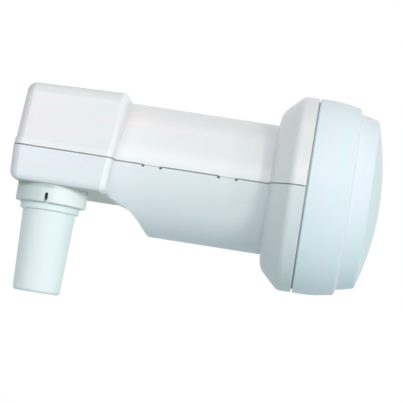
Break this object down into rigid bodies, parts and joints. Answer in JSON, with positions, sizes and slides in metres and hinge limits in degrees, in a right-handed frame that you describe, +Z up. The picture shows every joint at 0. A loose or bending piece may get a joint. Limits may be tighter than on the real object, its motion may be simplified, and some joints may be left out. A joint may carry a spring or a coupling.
{
  "type": "satellite lnb",
  "caption": "Satellite dish receiver head with a clamp neck, stepped feed cap, rear box and a sliding weather boot over its downward coaxial connector.",
  "frame": {"origin": "on the axis of the clamp neck, in the middle of the stretch that the clamp holds, on the parting plane of the housing", "axes": "+X along the feed axis towards the feed cap, +Z up with the connector pointing down, +Y towards the side away from the connector"},
  "size_m": [0.1103, 0.06, 0.0723],
  "materials": {
    "housing_plastic": "satin",
    "cap_plastic": "soft satin",
    "boot_plastic": "soft satin",
    "seal_rubber": "matte",
    "cast_aluminium": "as cast",
    "lid_steel": "tinned sheet",
    "screw_steel": "plated",
    "tuner_brass": "turned",
    "board_laminate": "solder mask",
    "chip_resin": "moulded",
    "capacitor_ceramic": "fired",
    "puck_ceramic": "fired",
    "pin_silver": "silver plated",
    "insulator_plastic": "turned",
    "connector_nickel": "nickel plated"
  },
  "bodies": {
    "housing": {"upper_shell": "housing_plastic", "lower_shell": "housing_plastic", "feed_cap": "cap_plastic", "cap_seal": "seal_rubber", "feedhorn_casting": "cast_aluminium", "shield_lid": "lid_steel", "lid_gasket": "seal_rubber", "lid_screws": "screw_steel", "tuning_screws": "tuner_brass", "circuit_board": "board_laminate", "low_noise_transistors": "chip_resin", "converter_chip": "chip_resin", "voltage_regulator": "chip_resin", "chip_capacitors": "capacitor_ceramic", "resonator_pucks": "puck_ceramic", "vertical_probe": "pin_silver", "horizontal_probe": "pin_silver", "probe_bushes": "insulator_plastic", "isolation_pin": "pin_silver", "f_connector_body": "connector_nickel", "f_insulator": "insulator_plastic", "f_contact": "pin_silver", "boss_seal": "seal_rubber"},
    "boot": {"weather_boot": "boot_plastic"}
  },
  "joints": [
    {"name": "boot_slide", "type": "slide", "parent": "housing", "child": "boot", "axis": [0, 0, 1], "range_m": [0, 0.01]}
  ]
}
